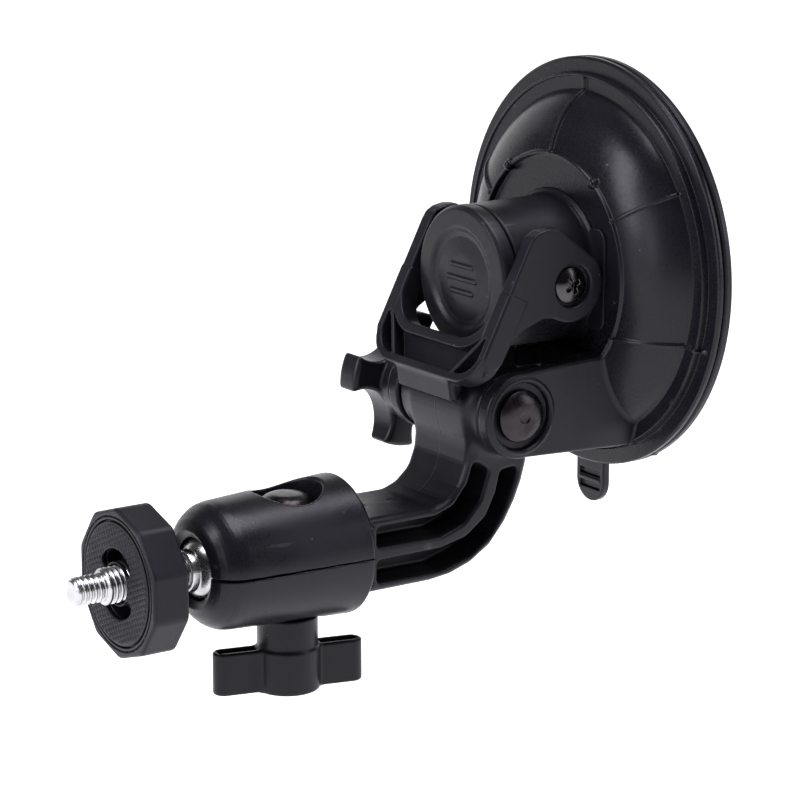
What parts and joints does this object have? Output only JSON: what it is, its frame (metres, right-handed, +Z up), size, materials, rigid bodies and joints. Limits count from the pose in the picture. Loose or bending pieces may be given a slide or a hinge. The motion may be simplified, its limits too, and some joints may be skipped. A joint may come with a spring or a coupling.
{
  "type": "suction cup camera mount",
  "caption": "Windscreen mount for a small camera: a suction cup pulled tight by a flip lever, a curved swing arm on a star knob, and a clamped ball head with a quarter-inch stud and lock wheel",
  "frame": {"origin": "centre of the suction cup contact face, on the glass", "axes": "+Y goes into the glass and is the outward normal of the contact face, -Y points out along the neck towards the user, +Z is up, X runs along the lever and arm pivots"},
  "size_m": [0.095, 0.1414, 0.1352],
  "materials": {
    "abs_black": "black moulded ABS with a fine spark-eroded grain, satin",
    "rubber_cup": "black soft rubber, smooth, slightly glossy",
    "rubber_pad": "black rubber with a fine diamond texture",
    "screw_black": "black oxide steel, glossy",
    "bolt_dark": "dark plated steel, domed and lightly scratched",
    "metal_silver": "bright zinc plated, cast and turned",
    "steel_inner": "plain zinc plated steel"
  },
  "bodies": {
    "base": {"suction_cup": "rubber_cup", "base_shell": "abs_black", "pivot_bolt": "bolt_dark", "knob_washer": "screw_black"},
    "plunger": {"stem_plate": "steel_inner", "pull_stem": "abs_black", "cap_spring": "steel_inner", "lever_screw_right": "screw_black", "lever_screw_left": "screw_black"},
    "cap": {"press_cap": "abs_black"},
    "lever": {"lock_lever": "abs_black"},
    "arm": {"curved_arm": "abs_black", "upper_clamp_shell": "abs_black", "lower_clamp_shell": "abs_black", "clamp_bolt": "bolt_dark", "clamp_washer": "steel_inner"},
    "pivot_knob": {"star_knob": "abs_black", "star_knob_nut": "steel_inner"},
    "clamp_knob": {"t_knob": "abs_black", "t_knob_nut": "steel_inner"},
    "ball_yaw": {"ball_seat_pad": "rubber_pad"},
    "ball_pitch": {"ball": "metal_silver"},
    "stud": {"ball_stud": "metal_silver"},
    "wheel": {"lock_wheel": "abs_black", "wheel_pad": "rubber_pad"}
  },
  "joints": [
    {"name": "plunger_lift", "type": "slide", "parent": "base", "child": "plunger", "axis": [0, -1, 0], "range_m": [0, 0.00525]},
    {"name": "lever_flip", "type": "hinge", "parent": "plunger", "child": "lever", "pos_m": [0, -0.0242, 0], "axis": [-1, 0, 0], "range_deg": [0, 95]},
    {"name": "cap_press", "type": "slide", "parent": "plunger", "child": "cap", "axis": [0, 1, 0], "range_m": [0, 0.0004], "stiffness_N_per_m": 400, "springref_m": -0.004},
    {"name": "arm_swing", "type": "hinge", "parent": "base", "child": "arm", "pos_m": [0, -0.037, -0.0285], "axis": [1, 0, 0], "range_deg": [-45, 30]},
    {"name": "pivot_knob_turn", "type": "hinge", "parent": "base", "child": "pivot_knob", "pos_m": [-0.0285, -0.037, -0.0285], "axis": [-1, 0, 0], "continuous": true},
    {"name": "clamp_knob_turn", "type": "hinge", "parent": "arm", "child": "clamp_knob", "pos_m": [0, -0.0872, -0.082], "axis": [0, 0, -1], "continuous": true},
    {"name": "ball_pan", "type": "hinge", "parent": "arm", "child": "ball_yaw", "pos_m": [0, -0.105, -0.05624], "axis": [0, 0, 1], "range_deg": [-18, 18]},
    {"name": "ball_tilt", "type": "hinge", "parent": "ball_yaw", "child": "ball_pitch", "pos_m": [0, -0.105, -0.05624], "axis": [1, 0, 0], "range_deg": [-18, 18]},
    {"name": "ball_roll", "type": "hinge", "parent": "ball_pitch", "child": "stud", "pos_m": [0, -0.105, -0.05624], "axis": [0, 1, 0], "continuous": true},
    {"name": "wheel_turn", "type": "hinge", "parent": "stud", "child": "wheel", "pos_m": [0, -0.126, -0.05624], "axis": [0, 1, 0], "continuous": true}
  ],
  "couplings": [
    {"joint": "plunger_lift", "follows": "lever_flip", "m_per_rad": 0.003136}
  ]
}
